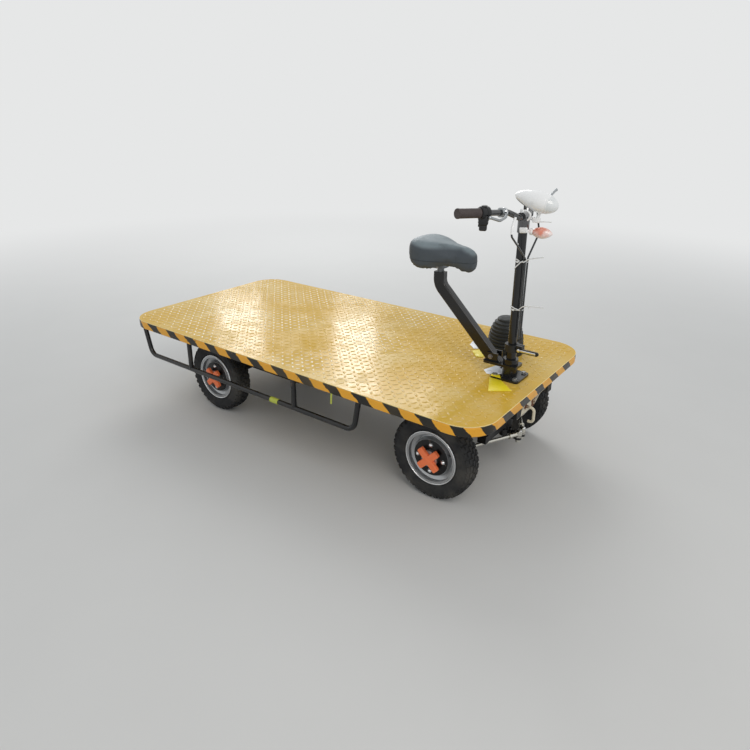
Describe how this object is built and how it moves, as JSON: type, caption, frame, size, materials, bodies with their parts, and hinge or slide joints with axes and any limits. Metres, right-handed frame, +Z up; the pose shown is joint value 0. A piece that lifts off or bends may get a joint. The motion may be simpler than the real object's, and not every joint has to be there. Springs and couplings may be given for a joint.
{
  "type": "electric platform cart",
  "caption": "Electric platform cart: flat tread plate deck with striped edge on four wheels, steered by a handlebar column, with a rider's saddle and side guards.",
  "frame": {"origin": "on the floor under the middle of the deck", "axes": "+X forward along the deck, towards the steered wheels, +Y to the rider's left, +Z up"},
  "size_m": [2, 1, 1.1604],
  "materials": {
    "deck_paint": "glossy yellow paint over tread plate",
    "edge_stripes": "yellow with slanted black stripes",
    "frame_paint": "satin black",
    "guard_paint": "satin black",
    "box_paint": "satin black",
    "column_paint": "gloss black",
    "motor_metal": "cast, dusty",
    "spring_metal": "black coated coils",
    "bright_metal": "polished",
    "plated_steel": "zinc plated",
    "rusty_steel": "bare, rusty brown",
    "saddle_cover": "dark grey-green leatherette",
    "grip_rubber": "dark, ribbed",
    "black_plastic": "satin black",
    "white_plastic": "white gloss",
    "amber_lens": "amber-red lens",
    "cable_sheath": "black",
    "tyre_rubber": "block tread",
    "rim_silver": "silver rim, black centre",
    "hub_orange": "orange-red enamel"
  },
  "bodies": {
    "chassis": {"deck_plate": "deck_paint", "deck_frame": "edge_stripes", "cross_members": "frame_paint", "chassis_rails": "frame_paint", "side_guard_right": "guard_paint", "side_guard_left": "guard_paint", "front_axle": "frame_paint", "rear_axle": "frame_paint", "drive_motor": "motor_metal", "front_springs": "spring_metal", "rear_springs": "spring_metal", "axle_arms": "frame_paint", "battery_box": "box_paint", "steering_head": "column_paint", "front_crossbar": "frame_paint", "seat_bracket": "column_paint", "seat_post": "column_paint", "saddle_clamp": "bright_metal", "saddle": "saddle_cover", "ribbed_box": "black_plastic", "tow_bracket": "rusty_steel"},
    "steering": {"steering_shaft": "column_paint", "column_clamp": "black_plastic", "upper_column": "column_paint", "handlebar": "column_paint", "grips": "grip_rubber", "switch_housings": "black_plastic", "brake_levers": "bright_metal", "headlamp": "white_plastic", "turn_lamp": "amber_lens", "control_cables": "cable_sheath"},
    "knuckle_right": {"knuckle_right": "frame_paint"},
    "knuckle_left": {"knuckle_left": "frame_paint"},
    "tie_rod_right": {"tie_rod_right": "plated_steel"},
    "tie_rod_left": {"tie_rod_left": "plated_steel"},
    "wheel_front_right": {"tyre_front_right": "tyre_rubber", "rim_front_right": "rim_silver", "hub_cross_front_right": "hub_orange"},
    "wheel_front_left": {"tyre_front_left": "tyre_rubber", "rim_front_left": "rim_silver", "hub_cross_front_left": "hub_orange"},
    "wheel_rear_right": {"tyre_rear_right": "tyre_rubber", "rim_rear_right": "rim_silver", "hub_cross_rear_right": "hub_orange"},
    "wheel_rear_left": {"tyre_rear_left": "tyre_rubber", "rim_rear_left": "rim_silver", "hub_cross_rear_left": "hub_orange"}
  },
  "joints": [
    {"name": "steer", "type": "hinge", "parent": "chassis", "child": "steering", "pos_m": [0.868, 0, 0.8], "axis": [0, 0, 1], "range_deg": [-30, 30]},
    {"name": "knuckle_right_turn", "type": "hinge", "parent": "chassis", "child": "knuckle_right", "pos_m": [0.739, -0.25, 0.176], "axis": [0, 0, 1], "range_deg": [-30, 30]},
    {"name": "tie_rod_right_swing", "type": "hinge", "parent": "knuckle_right", "child": "tie_rod_right", "pos_m": [0.809, -0.268, 0.19], "axis": [0, 0, 1], "range_deg": [-30, 30]},
    {"name": "knuckle_left_turn", "type": "hinge", "parent": "chassis", "child": "knuckle_left", "pos_m": [0.739, 0.25, 0.176], "axis": [0, 0, 1], "range_deg": [-30, 30]},
    {"name": "tie_rod_left_swing", "type": "hinge", "parent": "knuckle_left", "child": "tie_rod_left", "pos_m": [0.809, 0.268, 0.19], "axis": [0, 0, 1], "range_deg": [-30, 30]},
    {"name": "wheel_front_right_spin", "type": "hinge", "parent": "knuckle_right", "child": "wheel_front_right", "pos_m": [0.739, -0.339, 0.176], "axis": [0, 1, 0], "continuous": true},
    {"name": "wheel_front_left_spin", "type": "hinge", "parent": "knuckle_left", "child": "wheel_front_left", "pos_m": [0.739, 0.339, 0.176], "axis": [0, 1, 0], "continuous": true},
    {"name": "wheel_rear_right_spin", "type": "hinge", "parent": "chassis", "child": "wheel_rear_right", "pos_m": [-0.507, -0.339, 0.176], "axis": [0, 1, 0], "continuous": true},
    {"name": "wheel_rear_left_spin", "type": "hinge", "parent": "chassis", "child": "wheel_rear_left", "pos_m": [-0.507, 0.339, 0.176], "axis": [0, 1, 0], "continuous": true}
  ],
  "couplings": [
    {"joint": "knuckle_right_turn", "follows": "steer", "ratio": 1},
    {"joint": "tie_rod_right_swing", "follows": "steer", "ratio": -1},
    {"joint": "knuckle_left_turn", "follows": "steer", "ratio": 1},
    {"joint": "tie_rod_left_swing", "follows": "steer", "ratio": -1}
  ]
}
